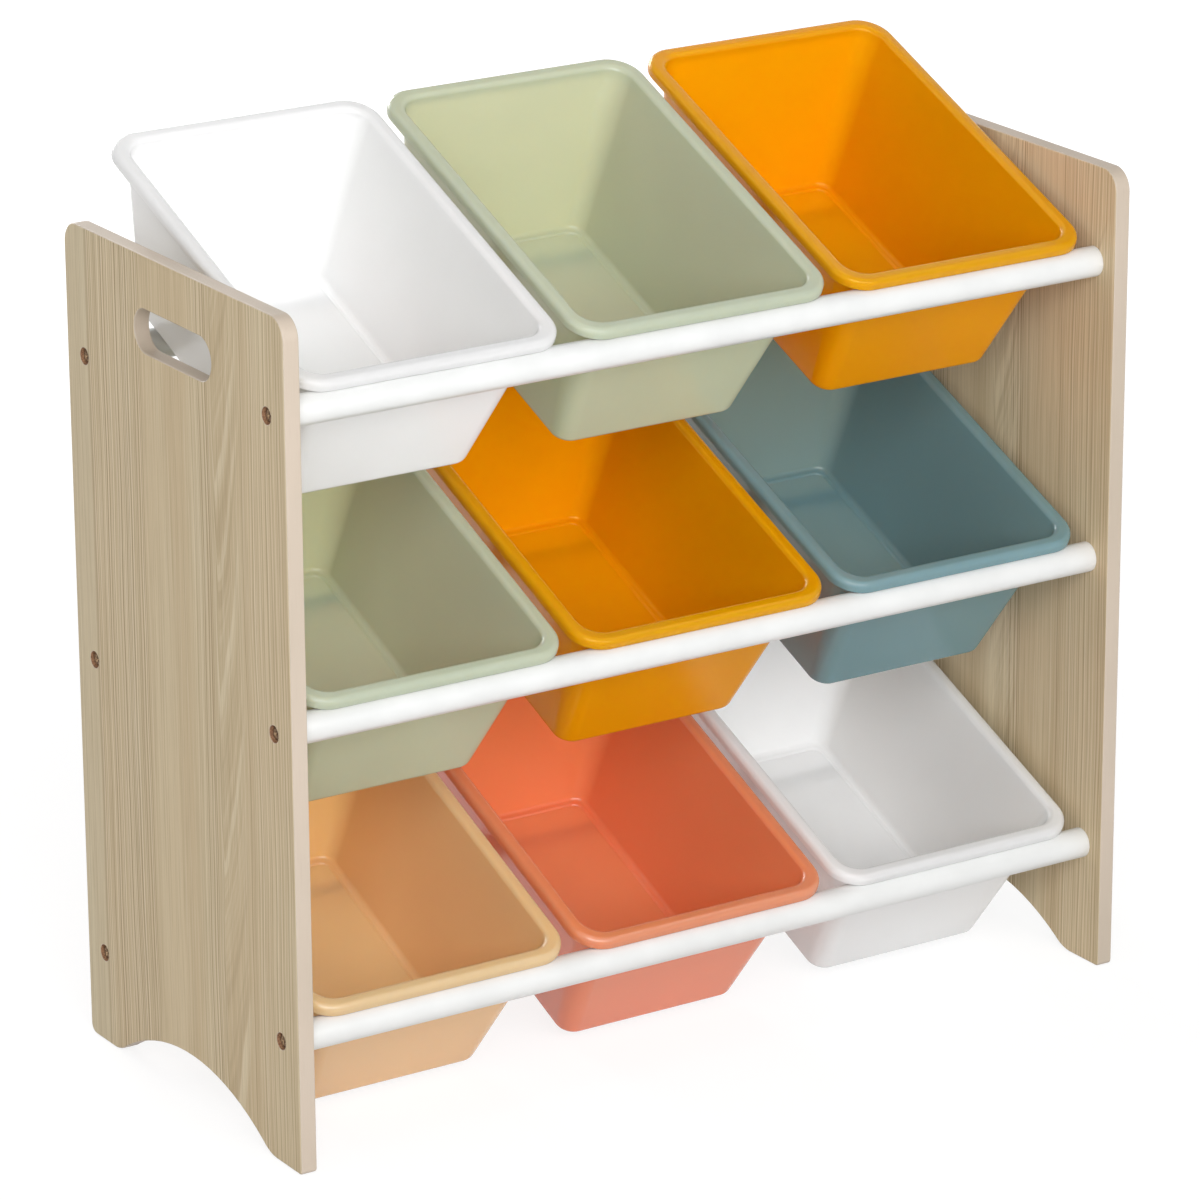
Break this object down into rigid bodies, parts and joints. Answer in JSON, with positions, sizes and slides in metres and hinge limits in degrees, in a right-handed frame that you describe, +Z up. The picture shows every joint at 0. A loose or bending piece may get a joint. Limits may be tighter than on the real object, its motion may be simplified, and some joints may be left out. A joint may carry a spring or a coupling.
{
  "type": "toy storage rack with bins",
  "caption": "Free-standing rack with wooden side boards, round rods in rows and tapered open plastic bins that hang tilted forward on the rods and lift out.",
  "frame": {"origin": "centre of the footprint, on the floor", "axes": "+Z up, -Y to the front where the bins are reached, X along the rods"},
  "size_m": [0.684, 0.3, 0.6592],
  "materials": {
    "oak_print_board": "matt printed light wood grain with plain pinkish-beige edges",
    "white_rod": "white satin coating",
    "rod_plug": "plain moulded",
    "bronze_screw": "dark bronze plating",
    "white_plastic": "smooth gloss",
    "sage_plastic": "smooth gloss",
    "mustard_plastic": "smooth gloss",
    "blue_grey_plastic": "smooth gloss",
    "apricot_plastic": "smooth gloss",
    "coral_plastic": "smooth gloss"
  },
  "bodies": {
    "frame": {"left_side_panel": "oak_print_board", "right_side_panel": "oak_print_board", "top_front_rod": "white_rod", "top_back_rod": "white_rod", "middle_front_rod": "white_rod", "middle_back_rod": "white_rod", "bottom_front_rod": "white_rod", "bottom_back_rod": "white_rod", "left_rod_plugs": "rod_plug", "right_rod_plugs": "rod_plug", "left_panel_screws": "bronze_screw", "right_panel_screws": "bronze_screw"},
    "top_left_bin": {"top_left_bin": "white_plastic"},
    "top_centre_bin": {"top_centre_bin": "sage_plastic"},
    "top_right_bin": {"top_right_bin": "mustard_plastic"},
    "middle_left_bin": {"middle_left_bin": "sage_plastic"},
    "middle_centre_bin": {"middle_centre_bin": "mustard_plastic"},
    "middle_right_bin": {"middle_right_bin": "blue_grey_plastic"},
    "bottom_left_bin": {"bottom_left_bin": "apricot_plastic"},
    "bottom_centre_bin": {"bottom_centre_bin": "coral_plastic"},
    "bottom_right_bin": {"bottom_right_bin": "white_plastic"}
  },
  "joints": [
    {"name": "top_left_bin_lift", "type": "slide", "parent": "frame", "child": "top_left_bin", "axis": [0, -0.3878, 0.9218], "range_m": [0, 0.175]},
    {"name": "top_centre_bin_lift", "type": "slide", "parent": "frame", "child": "top_centre_bin", "axis": [0, -0.3878, 0.9218], "range_m": [0, 0.175]},
    {"name": "top_right_bin_lift", "type": "slide", "parent": "frame", "child": "top_right_bin", "axis": [0, -0.3878, 0.9218], "range_m": [0, 0.175]},
    {"name": "middle_left_bin_lift", "type": "slide", "parent": "frame", "child": "middle_left_bin", "axis": [0, -0.3878, 0.9218], "range_m": [0, 0.07]},
    {"name": "middle_centre_bin_lift", "type": "slide", "parent": "frame", "child": "middle_centre_bin", "axis": [0, -0.3878, 0.9218], "range_m": [0, 0.07]},
    {"name": "middle_right_bin_lift", "type": "slide", "parent": "frame", "child": "middle_right_bin", "axis": [0, -0.3878, 0.9218], "range_m": [0, 0.07]},
    {"name": "bottom_left_bin_lift", "type": "slide", "parent": "frame", "child": "bottom_left_bin", "axis": [0, -0.3878, 0.9218], "range_m": [0, 0.07]},
    {"name": "bottom_centre_bin_lift", "type": "slide", "parent": "frame", "child": "bottom_centre_bin", "axis": [0, -0.3878, 0.9218], "range_m": [0, 0.07]},
    {"name": "bottom_right_bin_lift", "type": "slide", "parent": "frame", "child": "bottom_right_bin", "axis": [0, -0.3878, 0.9218], "range_m": [0, 0.07]}
  ]
}
